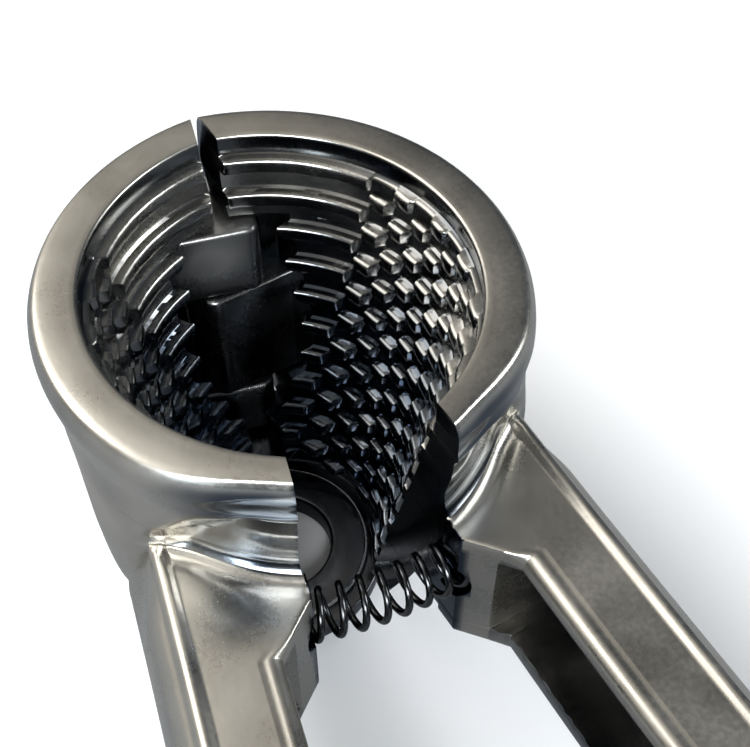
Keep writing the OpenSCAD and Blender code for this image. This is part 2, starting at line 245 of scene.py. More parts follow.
# Outside radius by angle and depth: rim bead, then cone + flank bulge towards the handle,
# less the cove in front of the slanting ridge, with the cheek's flat at the back
def outerRadius(angle, depth, cheek):
    degrees = np.degrees(angle)
    rim = curveThrough(depth, [0, 0.25, 0.8, 1.6, 2.6, 5.0, 60],
                       [26.75, 27.25, 27.65, 27.95, 28.05, 27.85, 27.6])
    rim = rim - funnel["rimNarrow"] * ease(-degrees, 42, 70)
    bulge = curveThrough(degrees, [-90, -50, -40, -31, -25, -18, -10, 0, 15, 32, 90],
                         [3.2, 3.4, 3.8, 4.1, 3.7, 2.9, 2.1, 1.3, 0.5, 0, 0])
    swell = curveThrough(depth, [0, 5, 12, 20, 27, 32, 36, 40, 60], [0, 0, 0.42, 1, 1.3, 1.1, 0.35, 0, 0])
    body = np.minimum(coneRadius(depth) + bulge * swell, funnel["fullest"])
    flank = rim + (body - rim) * ease(depth, 3.2, 7.5)
    # the cove: a neck with rounded top and bottom, which fades into the cone below the handle's top
    fillet = 1.25 * (1 - np.sqrt(np.clip(1 - ease(depth, 13.4, 15.5) ** 2, 0, 1)))
    fillet = fillet + 0.9 * ease(-degrees, 52, 70) * (1 - ease(depth, 8, 13))
    neck = funnel["neck"] + fillet - 0.35 * np.sin(math.pi * np.clip((depth - 5) / 10, 0, 1))
    ridge = curveThrough(depth, [0, 4, 15.3, 60], [-57, -56, -38, -36])
    behind = ease(degrees, ridge - 10, ridge + 3)
    wall = neck + (flank - neck) * behind
    belowLand = ease(depth, 15.6, 19) * (1 - behind)
    wall = wall + (np.minimum(flank, coneRadius(depth) + 0.3) - wall) * belowLand
    under = ease(depth, funnel["band"] - 0.2, funnel["band"] + 1.0 + 2.0 * ease(degrees, -66, -56))
    radius = flank + (wall - flank) * under
    flat = (funnel["cheekOut"] - arm["arcX"]) / np.cos(np.clip(angle, -1.2, 1.2))
    return np.maximum(radius, radius + (flat - radius) * ease(degrees, -6, 14) * cheek * (flat > radius))


# Half width of the back slit: it narrows under the rim
def backSlit(depth):
    return funnel["backDeep"] + (funnel["backSplit"] - funnel["backDeep"]) * (1 - ease(depth, 1.5, 7))


# Bore's plan columns in front, at fixed y: six to a tooth, four of them close to its sides
toothEdges = funnel["teethFrom"] - funnel["toothWide"] * np.arange(12, -1, -1)
toothShares = np.array([0.03, 0.12, 0.36, 0.64, 0.88, 0.97])
toothColumns = (toothEdges[:-1, None] + funnel["toothWide"] * toothShares).ravel()


# Inner plan line at a depth: the bore's arc from the front split over the teeth, then on round the
# back, and under the cheek's top along the bay's front and side to a round pocket about the hinge
def innerLine(depth, cheek, snug):
    centre = np.array([arm["arcX"], arm["arcY"]])
    r = boreRadius(depth)
    split, side = arm["split"], funnel["cheekSnug"] if snug else funnel["cheekIn"]
    frontEnd = centre[1] - math.sqrt(r * r - (split - centre[0]) ** 2)
    y = np.concatenate([[frontEnd], np.maximum(toothColumns, frontEnd), [funnel["teethFrom"]]])
    front = np.stack([centre[0] + np.sqrt(r * r - (y - centre[1]) ** 2), y], -1)
    front[y <= frontEnd + 1e-9, 0] = split
    start = math.asin((funnel["teethFrom"] - centre[1]) / r)
    slitEnd = math.acos((backSlit(depth) - centre[0]) / r)
    if not cheek:
        return np.concatenate([front, centre + r * onCircle(np.linspace(start, slitEnd, 67)[1:])])
    sill = arm["rim"] - depth < funnel["sillTop"]
    end = slitEnd
    if not sill:
        end = min(math.asin(min(1.0, (funnel["bayFront"] - centre[1]) / r)), slitEnd)
        if r > side - centre[0]:
            end = max(end, math.acos((side - centre[0]) / r))
    rear = centre + r * onCircle(np.linspace(start, end, 27)[1:])
    bayY = max(funnel["sillFront"], rear[-1, 1]) if sill else rear[-1, 1]
    corners = [rear[-1], [rear[-1, 0], bayY], [side, bayY], [side, arm["hinge"] - 2.6]]
    pocket = funnel["pocket"] * onCircle(np.radians(np.linspace(-12, 66, 26))) + [0, arm["hinge"]]
    bay = [between(start, end, count) for start, end, count in zip(corners, corners[1:], (4, 4, 6))]
    return np.concatenate([front, rear, *bay, pocket])


# Outer plan line at a depth, to the split above the cheek or to the cheek's back end
def outerLine(depth, cheek):
    cx, cy = arm["arcX"], arm["arcY"]
    angle = np.linspace(-1.35, 1.35, 4000)
    r = outerRadius(angle, depth, 1.0 if cheek else 0.0)
    x, y = cx + r * np.cos(angle), cy + r * np.sin(angle)
    inside = x >= np.where(angle < 0, arm["split"], backSlit(depth))
    middle = len(angle) // 2
    start = middle - np.argmin(inside[middle::-1])
    stop = middle + np.argmin(inside[middle:])
    backRound = 2.0
    if cheek:
        stop = min(stop, int(np.argmax((y > funnel["cheekBack"] - backRound) & (angle > 0))))
    line = np.stack([x, y], -1)[start + 1:stop]
    line[0] = [arm["split"], cy - math.sqrt(max(0.1, r[start] ** 2 - (arm["split"] - cx) ** 2))]
    if cheek:
        corner = [funnel["cheekOut"] - backRound, funnel["cheekBack"] - backRound]
        corner = corner + backRound * onCircle(np.radians(np.linspace(0, 90, 12)))
        pocketEnd = [funnel["pocket"] * math.cos(math.radians(66)), funnel["cheekBack"]]
        line = np.concatenate([line, corner, [pocketEnd]])
    else:
        line[-1] = [backSlit(depth), cy + math.sqrt(r[stop] ** 2 - (backSlit(depth) - cx) ** 2)]
    # more of the columns go to the front and the flank than to the back
    k = int(np.argmin(np.abs(line[:, 1] - 8)))
    return np.concatenate([spread(line[:k + 1], funnel["outerColumns"] - 60), spread(line[k:], 61)[1:]])


# How far the steps stand out of the bore at each column: plain terraces at the back, and then
# teeth in columns that take turns, one on the terrace and the next half a pitch lower,
# each face cut half way between the bore's own curve and a flat across the split
def toothRelief(line, depth, top, onTerrace, onLower, first):
    cx, cy = arm["arcX"], arm["arcY"]
    stepRadius = boreRadius(top) - funnel["stepDeep"]
    x, y = line[:, 0], line[:, 1]
    out = x - (cx + np.sqrt(np.clip(stepRadius**2 - (y - cy) ** 2, 0.01, None)))
    column = np.floor((funnel["teethFrom"] - y - 1e-6) / funnel["toothWide"])
    middle = funnel["teethFrom"] - (column + 0.5) * funnel["toothWide"] - cy
    face = cx + np.sqrt(np.clip(stepRadius**2 - middle**2, 4.0, None))
    place = (funnel["teethFrom"] - y) / funnel["toothWide"] - column
    tooth = np.clip(0.5 * out + 0.5 * (x - face), 0.5, 2.2)
    tooth = tooth * np.where((place < 0.06) | (place > 0.94), 0.12, 1.0)
    tooth = tooth * (1 - 0.1 * ease(np.abs(place - 0.5), 0.3, 0.42))
    plain = column < 0
    relief = tooth * np.where(column % 2 == 0, onLower, onTerrace)
    relief = np.where(plain, np.maximum(0, out) * onTerrace, relief)
    if first:
        relief = np.maximum(relief, funnel["ledge"] * onTerrace * ~plain)
    onBore = np.abs(np.hypot(x - cx, y - cy) - boreRadius(depth)) < 0.02
    relief = np.where(onBore, relief, 0)
    relief[0] = 0
    return relief, plain


# Profiles of a terrace and of the lower step after it: mm below the terrace's top edge, and the
# share of the step's relief
terraceProfile = [(0.0, 0.2), (0.05, 0.62), (0.14, 0.82), (0.28, 0.93), (0.48, 1), (1.1, 1), (1.6, 1),
                  (1.78, 0.96), (1.87, 0.8), (1.92, 0.25)]
lowerProfile = [(2.15, 0.2), (2.2, 0.62), (2.29, 0.82), (2.43, 0.93), (2.63, 1), (3.2, 1), (3.7, 1),
                (3.9, 0.96), (3.99, 0.8), (4.04, 0.25)]


# Levels of the funnel wall, by depth, close together at every edge of a step; with each goes
# its step's number and the shares of relief on the terrace and on the lower step
def wallLevels(footDepth, bayTop):
    levels = [(depth, (-1, 0.0, 0.0)) for depth in (0.42, 0.6, 0.95, 1.5, 2.1, 2.45)]
    for i in range(funnel["terraces"]):
        top = funnel["stepFrom"] + i * funnel["pitch"]
        found = [(top + down, (i, share, 0)) for down, share in terraceProfile]
        found += [(top + down, (i, 0, share)) for down, share in lowerProfile]
        levels += [level for level in found if level[0] < footDepth - 0.6]
    # a level just above and just below each ledge in the plan, in place of any that lies too near it
    for ledgeHeight in (bayTop, funnel["snugTop"], funnel["sillTop"]):
        ledge = arm["rim"] - ledgeHeight
        levels = [level for level in levels if abs(level[0] - ledge) > 0.035]
        nearest = min(levels, key=lambda level: abs(level[0] - ledge))[1]
        levels += [(ledge - 0.01, nearest), (ledge + 0.01, nearest)]
    levels += [(footDepth - up, (-1, 0.0, 0.0)) for up in (0.5, 0.3, 0.1, 0)]
    return sorted(levels, key=lambda level: level[0])


# Pushes the steps out of the bore's line at one level, and gives its bare value: painted shade in the
# band under the lip and deeper down, painted light near the mouth, and painted glints on the crests
def steppedLine(line, side, depth, step, onTerrace, onLower):
    x, y = line[:, 0], line[:, 1]
    # terraces near the mouth are painted brighter on the left wall than on the right, for the reflections
    # they show
    terraces = wearAndLight["leftTerracesLit"] if side < 0 else wearAndLight["rightTerracesLit"]
    # painted light near the mouth, with a painted dark band under the lip, fading into painted shade deeper
    # down
    mouthLight = (0.35 + 0.65 * ease(depth, 2.2, 2.8)) * (1 - ease(depth, 4, 24))
    bareAndLit = wearAndLight["bore"] + np.where(y > funnel["teethFrom"], terraces, wearAndLight["teeth"]) * mouthLight
    if onTerrace + onLower > 0:
        top = funnel["stepFrom"] + (step + 0.5 * (onLower > 0)) * funnel["pitch"]
        relief, plain = toothRelief(line, depth, top, onTerrace, onLower, step == 0)
        relief = relief + 0.05 * ripple(y, depth, 2 + side, 2.3) * (relief > 0.3)
        x = np.maximum(x - relief, np.where(y < 0, arm["split"], backSlit(depth)))
        # painted glints along the steps' top edges, fading deeper in the bore
        crest = 0.55 < onTerrace + onLower < 0.99 and depth - top < 1.0
        toothGlint = wearAndLight["toothGlint"] - wearAndLight["glintFade"] * ease(depth, 9, 26)
        bareAndLit = bareAndLit + (relief > 0.25) * crest * np.where(plain, wearAndLight["terraceGlint"], toothGlint)
    return np.stack([x, y], -1), bareAndLit


# Draws the outer line in a little at the foot's edge, and gives its bare value: a painted dark reflection
# in front under the rim, a little less dark with painted light in the cove, and darker at the faces of the
# split
def footedLine(line, depth, footDepth):
    toward = line - [arm["arcX"], arm["arcY"]]
    degrees = np.degrees(np.arctan2(toward[:, 1], toward[:, 0]))
    toward = toward / np.linalg.norm(toward, axis=1)[:, None]
    shrink = 0.5 * max(0.0, (depth - footDepth + 0.5) / 0.5) ** 2
    line = line - toward * shrink * (line[:, 0] > arm["split"] + 1e-6)[:, None]
    # painted dark reflection across the front below the rim, a little less dark in the cove
    underRimShade = wearAndLight["frontShade"] * ease(depth, 0.5, 1.8) - wearAndLight["coveLight"] * ease(depth, 5, 9)
    bareAndLit = wearAndLight["outside"] - ease(-degrees, 42, 60) * underRimShade
    bareAndLit[[0, -1]] = wearAndLight["splitEdge"] - (wearAndLight["splitEdge"] - wearAndLight["splitFace"]) * ease(depth, 0.3, 1.0)
    return line, bareAndLit


# The rim's rows: share of the way from the bore's edge to the outer shoulder, height over the rim, wear
rimRows = np.array([
    (0.010, -0.24, 0.5), (0.026, -0.13, 0.9), (0.05, -0.05, 1), (0.085, -0.01, 1), (0.2, 0, 1),
    (0.35, 0.03, 1), (0.5, 0.04, 1), (0.65, 0.03, 1), (0.78, 0, 1), (0.86, -0.03, 1), (0.91, -0.09, 1),
    (0.95, -0.18, 1), (0.98, -0.3, 0.95),
])


def makeFunnel(name, side, foot, bayTop):
    footDepth = arm["rim"] - foot
    inner, outer, innerBareAndLit, outerBareAndLit = [], [], [], []
    for depth, (step, onTerrace, onLower) in wallLevels(footDepth, bayTop):
        cheek = depth > arm["rim"] - bayTop
        snug = side > 0 and depth > arm["rim"] - funnel["snugTop"]
        line, bareAndLit = steppedLine(innerLine(depth, cheek, snug), side, depth, step, onTerrace, onLower)
        inner.append(raised(line, arm["rim"] - depth))
        innerBareAndLit.append(bareAndLit)
        line, bareAndLit = footedLine(outerLine(depth, cheek), depth, footDepth)
        outer.append(raised(line, arm["rim"] - depth))
        outerBareAndLit.append(bareAndLit)
    inner, outer = np.array(inner), np.array(outer)
    rows, inside, outside = len(inner), inner.shape[1], outer.shape[1]
    # the rim's columns match the outer side's; triangles join them to the bore's
    share, height, rimBare = rimRows.T
    edge = spread(inner[0, :, :2], inside)
    run, at = np.linspace(0, 1, inside), np.linspace(0, 1, outside)
    edge = np.stack([np.interp(at, run, edge[:, 0]), np.interp(at, run, edge[:, 1])], -1)
    rim = edge + (outer[0, :, :2] - edge) * share[:, None, None]
    rim = raised(rim, (arm["rim"] + height)[:, None])
    points = np.concatenate([inner.reshape(-1, 3), outer.reshape(-1, 3), rim.reshape(-1, 3)])
    bareAndLit = np.concatenate([np.ravel(innerBareAndLit), np.ravel(outerBareAndLit), np.repeat(rimBare, outside)])
    innerGrid = np.arange(rows * inside).reshape(rows, inside)
    outerGrid = np.arange(rows * outside).reshape(rows, outside) + rows * inside
    rimGrid = np.arange(len(share) * outside).reshape(-1, outside) + rows * (inside + outside)
    top = np.concatenate([rimGrid, outerGrid[:1]])
    faces = quads(innerGrid).tolist() + quads(outerGrid)[:, ::-1].tolist() + quads(top)[:, ::-1].tolist()
    faces += bridge(points, innerGrid[0], rimGrid[0]) + bridge(points, innerGrid[-1], outerGrid[-1])
    for end in (0, -1):
        faces += quads(np.stack([innerGrid[:, end], outerGrid[:, end]])).tolist()
        faces.append([innerGrid[0, end], *rimGrid[:, end], outerGrid[0, end]])
    return makePiece(name, swing(points, side), faces, 32, bareAndLit)


# Handle: one section carried along the bent line, with the land on top, a bead along its outer
# edge and a channel towards the other handle; the inner edge steps in to make the lug
handle = {
    "root": (4.9, -32.0), "end": -150.0, "wide": 12.4, "bow": 1.1, "wall": 3.3, "tip": 6.9,
    "lugFront": -27.1, "channelStart": -30.1, "channelEnd": -136.0, "beadStart": -16.6,
}
halfRun = (-handle["end"] - 6.5 + handle["root"][1]) / 2
bowRadius = (halfRun**2 + handle["bow"] ** 2) / (2 * handle["bow"])
bowX = handle["root"][0] + bowRadius * math.cos(math.asin(halfRun / bowRadius))
bowY = handle["root"][1] - halfRun


# Point at distance d outside the bent inner line, at the station whose inner line is at y
def alongHandle(y, d):
    f = np.arcsin((y - bowY) / bowRadius)
    return bowX - (bowRadius - d) * np.cos(f), bowY + (bowRadius - d) * np.sin(f)


# The section's parts in turn, as points (across, height): `across` is the mm from the inner or the
# outer edge, or the share of the way over the land, under the handle or into the channel;
# `height` is from the land's level
sectionParts = [
    ("inner", [(0.0, -2.4), (0.0, -1.9), (0.0, -1.35), (0.1, -0.78), (0.36, -0.36), (0.78, -0.1),
               (1.2, 0.0), (1.5, -0.02), (1.75, -0.07), (2.0, -0.06), (2.3, -0.01)]),
    ("land", [(share, 0.0) for share in np.linspace(0.02, 0.98, 58)]),
    ("outer", [(-4.95, 0.0), (-4.7, 0.06), (-4.4, 0.28), (-4.05, 0.42), (-3.7, 0.42), (-3.4, 0.28),
               (-3.15, 0.0), (-2.98, -0.34), (-2.85, -0.6), (-2.7, -0.78), (-2.45, -0.96), (-2.0, -1.45),
               (-1.5, -2.25), (-1.02, -3.35), (-0.62, -4.7), (-0.28, -6.3), (-0.07, -8.0), (0.0, -9.65),
               (-0.07, -11.3), (-0.28, -13.0), (-0.62, -14.6), (-1.1, -16.0), (-1.75, -17.2),
               (-2.6, -18.2), (-3.6, -18.85), (-4.8, -19.2)]),
    ("under", [(share, -19.3) for share in np.linspace(0.94, 0.14, 12)]),
    ("inner", [(1.1, -19.28), (0.6, -19.15), (0.22, -18.85), (0.03, -18.35), (0.0, -17.8), (0.0, -17.0),
               (0.0, -16.35), (0.08, -16.12)]),
    ("channel", [(0.1, -16.04), (0.3, -16.0), (0.6, -15.95), (0.8, -15.9), (0.93, -15.55), (0.985, -14.8),
                 (1.0, -13.6), (1.0, -11), (1.0, -8), (1.0, -5.0), (0.985, -3.7), (0.93, -2.95),
                 (0.8, -2.6), (0.6, -2.55), (0.3, -2.5), (0.06, -2.46)]),
]
part = np.array([name for name, points in sectionParts for _ in points])
sectionAcross, height = np.array([point for _, points in sectionParts for point in points], float).T
# on the lug the top inner edge is crisp, where it is a bead beside the channel
crispEdge = np.array([(0.0, -2.4), (0.0, -1.4), (0.0, -0.6), (0.03, -0.26), (0.12, -0.1), (0.3, -0.02),
                      (0.6, 0), (1.0, 0), (1.4, 0), (1.8, 0), (2.3, 0)])
sideMiddle = 9.65  # how far the side's fullest line lies under the land


# Stations from the funnel to the end: close at the crease, the lug's front, the channel's ends and the tip
def handleStations():
    cut = handle["channelStart"]
    stations = np.concatenate([
        np.linspace(1.0, -15, 17), np.arange(-15.15, -26.6, -0.15),
        [-26.75, -26.92, -27.02, -27.1, -27.18, -27.3, -27.5], np.arange(-27.9, -29.9, -0.4),
        [cut + 0.06, cut - 0.02, cut - 0.12, cut - 0.3], np.arange(-30.8, -31.7, -0.3),
        [-31.8, -31.92, -32.0, -32.08, -32.2, -32.5], np.arange(-33, -60, -0.75),
        np.arange(-60, -132, -1.5), np.arange(-132, -143, -0.4),
        handle["end"] + handle["tip"] * (1 - np.sin(np.linspace(0, math.pi / 2, 26))),
    ])
    return np.unique(np.round(stations, 4))[::-1, None]


# Distance of every point outside the inner line: the lug steps in at the root,
# and the tip draws both edges in on an ellipse
def handleAcross(stations, across, depth, tip):
    wide = handle["wide"]
    lugStep = arm["lugGap"] - alongHandle(stations, 0)[0]
    lugStep = lugStep * np.interp(-stations, [-handle["lugFront"], -handle["root"][1]], [1, 0])
    outEdge = wide - 8.5 * ease(stations, -15.5, 1)
    half = np.sqrt(np.clip(1 - tip**2, 0, 1))
    low = lugStep + (wide / 2 - lugStep) * (1 - half)
    high = outEdge + (wide / 2 - outEdge) * (1 - half)
    squeeze = np.clip(half * 1.6, 0, 1)  # keeps the edge roundings from crossing at the tip
    landLow, landHigh = low + 2.3 * squeeze, high - 4.95 * squeeze
    underLow, underHigh = low + 1.1 * squeeze, high - 4.8 * squeeze
    return np.select(
        [part == "inner", part == "outer", part == "land", part == "under", part == "channel"],
        [low + across * squeeze, high + across * squeeze, landLow + (landHigh - landLow) * across,
         underLow + (underHigh - underLow) * across, low + (high - handle["wall"] - low) * across * depth])


def makeHandle(name, side):
    stations = handleStations()
    size = (len(stations), len(part))
    across, z = np.tile(sectionAcross, (size[0], 1)), np.tile(height, (size[0], 1))
    tip = np.clip((handle["end"] + handle["tip"] - stations) / handle["tip"], 0, 1)
    cut, close = -handle["channelStart"], -handle["channelEnd"]
    depth = ease(-stations, cut - 0.04, cut + 0.1) * (1 - ease(-stations, close - 1.2, close + 2.4))
    # the shoulder draws in at the root, and the lug's crisp edge turns into the bead
    shoulder = (part == "outer") * ease(height, -9, -4) * ease(-height, 0.3, 1.5)
    across = across - 1.3 * shoulder * ease(stations, -25, -15.5)
    count = len(crispEdge)
    beaded = ease(-stations, 30.6, 32.4)
    across[:, :count] = crispEdge[:, 0] + (across[:, :count] - crispEdge[:, 0]) * beaded
    z[:, :count] = crispEdge[:, 1] + (z[:, :count] - crispEdge[:, 1]) * beaded
    d = handleAcross(stations, across, depth, tip)
    # the outer bead starts round from the crease, and the end comes down a little all round
    bead = ease(-stations, -handle["beadStart"] - 0.2, -handle["beadStart"] + 1.4)
    z = np.where((part == "outer") & (height > 0), z * bead, z)
    z = z - 1.6 * tip**3 * (1 + z / sideMiddle)
    x, y = alongHandle(stations + 0 * d, d)
    # inside the funnel the section stays in the middle of the wall
    deep = arm["rim"] - arm["land"] - z
    wallMiddle = 0.45 * boreRadius(deep) + 0.55 * np.minimum(coneRadius(deep), 25.4)
    wallX = arm["arcX"] + np.sqrt(np.clip(wallMiddle**2 - (y - arm["arcY"]) ** 2, 0, None))
    x = np.where(y > -24, np.maximum(np.maximum(x, wallX), arm["split"] + 0.1), x)
    # crease: a low lip along the foot of the cove, and a shallow hollow behind it
    angle = np.degrees(np.arctan2(y - arm["arcY"], x - arm["arcX"]))
    lip = curveThrough(angle, [-90, -66, -52, -44, -37, -30, 0], [26.6, 26.3, 25.9, 26.5, 28.4, 30.5, 31])
    past = np.hypot(x - arm["arcX"], y - arm["arcY"]) - lip
    onTop = (height > -0.2) & np.isin(part, ["inner", "land", "outer"])
    z = z + onTop * (0.26 * bell(past, 0.42) - 0.12 * bell(past - 1.2, 0.7))
    # cast flash along the channel's lower edge
    flash = (part == "inner") & (height < -15.9) & (height > -17.1)
    flash = depth * (flash | (part == "channel") & (across < 0.35) & (height < -15))
    x = x + flash * (ripple(y, z, 3 + side, 1.9) * 0.16 + ripple(y, z, 7 + side, 0.8) * 0.1)
    z = z + flash * ripple(y, d, 5 + side, 1.3) * 0.12
    # worn bare on top and less at the sides, stained near the lug's front; kept plating with painted shade
    # inside the channel and on the inner faces
    bareAndLit = np.where(height > -2.5, 1.0, np.where(part == "outer", 0.85, 0.7))
    stain = bell(d - 2.5, 3.5) * bell(stations + 25.5, 3.2) * (height > -1)
    bareAndLit = bareAndLit - (0.4 if side < 0 else 0.05) * stain
    # painted shade: the inner faces towards the other handle and the channel, darker the deeper it is, keep
    # the dark plating
    shadedInside = (part == "inner") & ((height < -2) | (across < 0.2) & (stations > -27.2))
    bareAndLit = np.where(shadedInside | (part == "channel"), (0.95 - 0.5 * depth) * ease(-stations, 27.3, 28.0), bareAndLit)
    points = raised(np.stack([x, y], -1), arm["land"] + z)
    return makePiece(name, swing(points.reshape(-1, 3), side), tubeFaces(*size), 36, bareAndLit)


# Knuckle: a plan outline carried up with rounded edges, by drawing the outline in
knuckle = {
    "front": 5.4, "reach": 4.4, "back": 5.0,    # the hinge's distance from its front, side and back
    "corner": 1.4, "edge": 0.55, "root": 10.6,  # roundings in the plan and over the edges, and its far end
    "patch": 1.4,                               # how worn the patch on the top knuckle is
}


# The outline about the hinge: a flat front, round corners, a round back, and a root inside the cheek
def knucklePlan():
    front, reach, corner = knuckle["front"], knuckle["reach"], knuckle["corner"]
    bend = [corner - reach, corner - front] + corner * onCircle(np.radians(np.arange(-90, -181, -9)))
    backFrom = 180 - math.degrees(math.acos(reach / knuckle["back"]))
    back = knuckle["back"] * onCircle(np.radians(np.arange(backFrom, 74, -6)))
    root = [[3.4, 4.75], [knuckle["root"] - 1.4, 4.75], [knuckle["root"], 3.6], [knuckle["root"], -front]]
    plan = np.concatenate([bend, back, root])
    return spread(np.concatenate([plan, plan[:1]]), 121)[:-1]


def makeKnuckle(name, side, low, high):
    plan = knucklePlan()
    along = np.roll(plan, -1, 0) - np.roll(plan, 1, 0)
    normal = np.stack([along[:, 1], -along[:, 0]], -1) / np.linalg.norm(along, axis=1)[:, None]
    inward = normal * np.sign(np.sum(normal * (plan.mean(0) - plan), 1).mean())
    edge = knuckle["edge"]
    turn = np.radians([0, 18, 36, 54, 72, 90])
    middle = np.linspace(low + edge, high - edge, 9)[1:-1]
    inset = np.concatenate([[0], edge * (1 - np.sin(turn)), 0 * middle, edge * (1 - np.cos(turn)), [0]])
    lowEdge, highEdge = low + edge * (1 - np.cos(turn)), high - edge * (1 - np.sin(turn))
    level = np.concatenate([[low], lowEdge, middle, highEdge, [high]])
    rows = plan + inward * inset[:, None, None]
    for cap, rowBeside in ((0, 1), (-1, -2)):
        rows[cap] = rows[rowBeside] * 0.5 + rows[rowBeside].mean(0) * 0.5
    points = raised(rows, level[:, None])
    x, y, z = np.moveaxis(points, -1, 0)
    # worn, with a painted highlight, on the top edge; worn at the upright corner, in a patch on the top
    # knuckle's front, and behind
    corner = knuckle["corner"] * 0.7
    # painted highlight along the top edge, added to its wear
    bareAndLit = 0.1 + 0.35 * bell(high - 0.15 - z, 0.3)
    bareAndLit = bareAndLit + 0.22 * (x < corner - knuckle["reach"]) * (y < corner - knuckle["front"])
    if high > 35:
        onFront = y < 0.2 - knuckle["front"]
        bareAndLit = bareAndLit + knuckle["patch"] * onFront * bell(x - 2.0, 3.4) * bell(z - high + 4.2, 3.0)
    bareAndLit = np.maximum(bareAndLit, 0.85 * ease(y, 3.9, 4.6))
    points = points + [0, arm["hinge"], 0]
    return makePiece(name, swing(points.reshape(-1, 3), side), tubeFaces(*rows.shape[:2]), 40, bareAndLit)


castings = {}
castings["left_arm"] = [
    makeFunnel("leftFunnel", -1, 3.5, 40.5), makeHandle("leftHandle", -1),
    makeKnuckle("topKnuckle", -1, 30.9, 40.9), makeKnuckle("lowKnuckle", -1, 3.5, 12.5),
]
castings["right_arm"] = [
    makeFunnel("rightFunnel", 1, 3.8, 41.2), makeHandle("rightHandle", 1),
    makeKnuckle("midKnuckle", 1, 12.8, 30.6),
]
print("castings made")

# Spring seats: a round pocket sunk in each lug, a little higher in the left one than in the right
seat = {"radius": 3.45, "y": -24.7, "z": 26.9, "leftRise": 1.6, "rightRise": 0.6, "from": -3.0, "to": 6.4}


def sinkSeat(handlePiece, side, rise):
    around = onCircle(np.linspace(0, 2 * math.pi, 64, endpoint=False))
    radius, bevel = seat["radius"], 0.5
    rings = [(seat["from"], radius), (seat["to"] - bevel, radius), (seat["to"], radius - bevel)]
    middle = [seat["y"], seat["z"] + rise]
    points = np.concatenate([np.insert(middle + r * around, 0, x, axis=1) for x, r in rings])
    cutter = makePiece("seatCutter", swing(points, side), tubeFaces(len(rings), len(around)), bareAndLit=0.0)
    cut = handlePiece.modifiers.new("seat", "BOOLEAN")
    cut.operation, cut.solver, cut.object = "DIFFERENCE", "EXACT", cutter
    depsgraph = bpy.context.evaluated_depsgraph_get()
    mesh = bpy.data.meshes.new_from_object(handlePiece.evaluated_get(depsgraph))
    handlePiece.modifiers.clear()
    handlePiece.data = mesh
    bpy.data.objects.remove(cutter)
    mesh.set_sharp_from_angle(angle=math.radians(36))


sinkSeat(castings["left_arm"][1], -1, seat["leftRise"])
sinkSeat(castings["right_arm"][1], 1, seat["rightRise"])
print("spring seats sunk")


# Turned piece: a profile (radius, height) carried round an upright axis; its widest part may
# reach out in a heel towards the hinge
def makeTurned(name, profile, place, count, bareAndLit=1.0, heel=0.0):
    profile = np.array(profile, float)
    turn = np.linspace(0, 2 * math.pi, count, endpoint=False)
    toHinge = turn - math.pi / 2 + math.radians(arm["open"])
    widest = profile[:, :1] > profile[:, 0].max() - 0.5
    radius = profile[:, :1] + heel * widest * np.exp(-((toHinge / 0.45) ** 4))
    points = raised(place + radius[..., None] * onCircle(turn), profile[:, 1:]) / 1000
    grid = np.arange(len(profile) * count).reshape(-1, count)
    grid = np.concatenate([grid, grid[:, :1]], 1)
    if profile[:, 0].min() > 0:
        grid = np.concatenate([grid, grid[:1]])  # a profile off the axis closes on itself
    bareAndLit = np.repeat(np.broadcast_to(bareAndLit, len(profile)), count)
    return makePiece(name, points.reshape(-1, 3), quads(grid).tolist(), 40, bareAndLit)


# Quarter turn of a profile, of a radius about (x, z), between two angles in degrees
def profileBend(x, z, radius, start, end):
    return [x, z] + radius * onCircle(np.radians(np.linspace(start, end, 5)))


# Foot ring that closes the funnel's foot, part of the left casting; worn, with a painted highlight, on its
# top outer edge
ring = {"outer": 11.5, "hole": 6.8, "top": 3.5, "flange": 13.4, "flangeTop": 2.5, "edge": 0.45, "heel": 13.0}
edge = ring["edge"]
ringProfile = np.concatenate([
    profileBend(ring["flange"] - 0.3, ring["flangeTop"] - 0.3, 0.3, 0, 90),
    profileBend(ring["outer"] + 0.25, ring["flangeTop"] + 0.25, 0.25, 270, 180),
    profileBend(ring["outer"] - 0.6, ring["top"] - 0.6, 0.6, 0, 90),
    profileBend(ring["hole"] + edge, ring["top"] - 0.1 - edge, edge, 90, 180),
    profileBend(ring["hole"] + edge, edge, edge, 180, 270),
    profileBend(ring["flange"] - edge, edge, edge, 270, 360),
])
# the third group of five, the top outer rounding, is painted bright: wear and a painted highlight
ringBareAndLit = np.concatenate([[0.1] * 5, [0.005] * 5, [0.3, 1.0, 1.0, 0.5, 0.01], [0.005] * 15])
ringPlace = swing([0.0, 0.0, 0.0], -1)[:2] * 1000
footRing = makeTurned("footRing", ringProfile, ringPlace, 200, ringBareAndLit, ring["heel"])

# Hinge pin, with its ends turned down a little
pin = {"radius": 2.0, "low": 3.5, "high": 39.4, "chamfer": 0.35}
pinEnd = pin["radius"] - pin["chamfer"]
pinProfile = [
    (0, pin["low"]), (1.0, pin["low"]), (pinEnd, pin["low"]), (pin["radius"], pin["low"] + pin["chamfer"]),
    (pin["radius"], pin["high"] - pin["chamfer"]), (pinEnd, pin["high"]), (0, pin["high"]),
]
hingePin = makeTurned("hingePin", pinProfile, (0, arm["hinge"] + centreY), 64)

# Spring: a wire carried along a helix whose axis is an arc about the hinge
spring = {"radius": 2.9, "wire": 0.41, "turns": 12, "sunk": 5.6, "steps": 40, "sides": 12}


